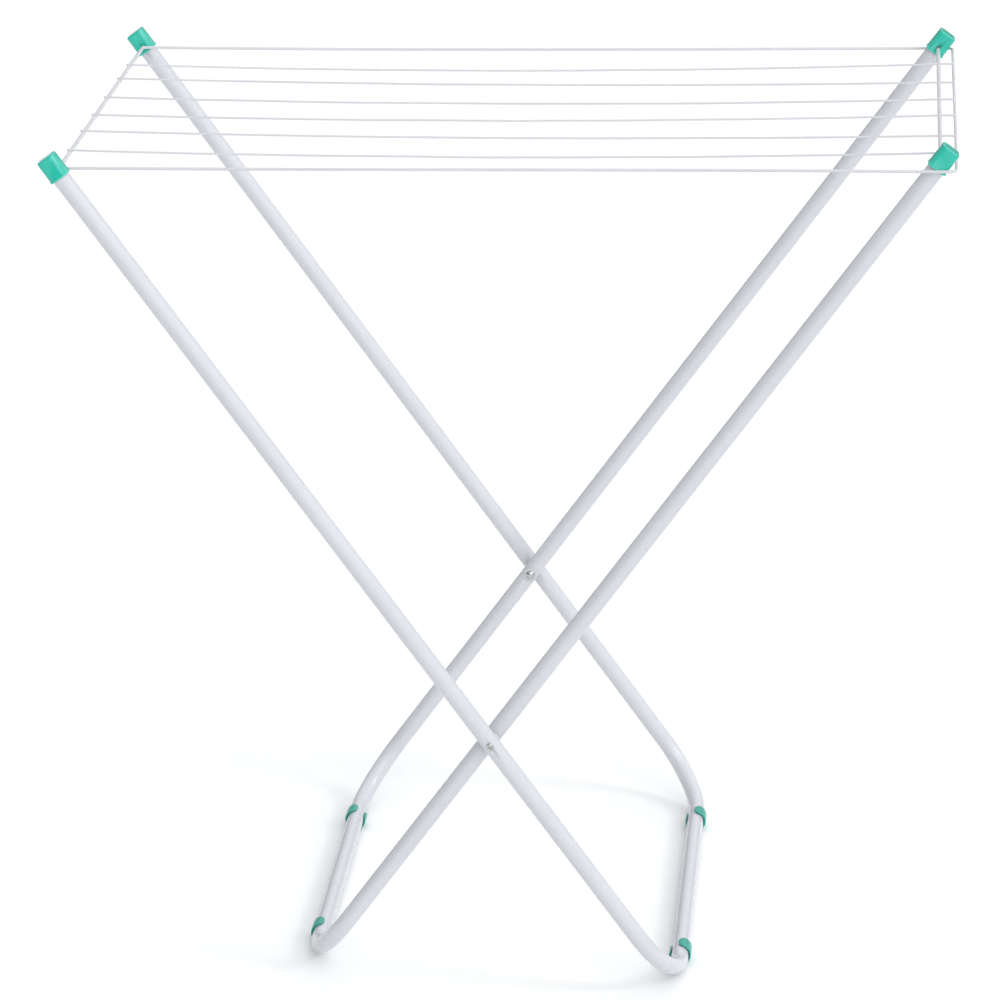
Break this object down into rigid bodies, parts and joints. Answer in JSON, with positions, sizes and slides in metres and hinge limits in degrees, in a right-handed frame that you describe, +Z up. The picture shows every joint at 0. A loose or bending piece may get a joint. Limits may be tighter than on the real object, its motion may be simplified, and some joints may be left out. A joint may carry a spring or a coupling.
{
  "type": "clothes drying rack",
  "caption": "Free-standing folding X-frame drying rack: two crossed bent-tube frames with plastic caps and foot clips carry a hinged welded-wire grid of parallel lines.",
  "frame": {"origin": "middle of the rack's bounding box at the floor, under the grid", "axes": "+Z up; X along the lines, from the hinge rod (-X) to the catch rod (+X); Y along the rods and bottom bars, front -Y"},
  "size_m": [0.9494, 0.5908, 0.9571],
  "materials": {
    "coated_tube": "white powder coat, satin, faintly cool",
    "coated_wire": "white dip coat, satin",
    "cap_plastic": "moulded teal-green plastic, soft gloss",
    "clip_plastic": "moulded teal-green plastic, satin",
    "rivet_metal": "bright nickel plate",
    "spacer_plastic": "natural nylon"
  },
  "bodies": {
    "outer_frame": {"outer_frame_tube": "coated_tube", "outer_cap_front": "cap_plastic", "outer_cap_rear": "cap_plastic", "outer_foot_front": "clip_plastic", "outer_foot_rear": "clip_plastic", "pivot_rivet_front": "rivet_metal", "pivot_rivet_rear": "rivet_metal", "pivot_spacer_front": "spacer_plastic", "pivot_spacer_rear": "spacer_plastic"},
    "inner_frame": {"inner_frame_tube": "coated_tube", "inner_cap_front": "cap_plastic", "inner_cap_rear": "cap_plastic", "inner_foot_front": "clip_plastic", "inner_foot_rear": "clip_plastic", "pivot_washer_front": "spacer_plastic", "pivot_washer_rear": "spacer_plastic"},
    "grid": {"grid_hinge_rod": "coated_wire", "grid_catch_rod": "coated_wire", "grid_rim_wire": "coated_wire", "grid_wire_1": "coated_wire", "grid_wire_2": "coated_wire", "grid_wire_3": "coated_wire", "grid_wire_4": "coated_wire", "grid_wire_5": "coated_wire", "grid_wire_6": "coated_wire"}
  },
  "joints": [
    {"name": "leg_fold", "type": "hinge", "parent": "outer_frame", "child": "inner_frame", "pos_m": [-0.007, 0, 0.29227], "axis": [0, -1, 0], "range_deg": [0, 66.5]},
    {"name": "grid_swing", "type": "hinge", "parent": "outer_frame", "child": "grid", "pos_m": [-0.45575, 0, 0.91676], "axis": [0, 1, 0], "range_deg": [0, 53.5]}
  ]
}
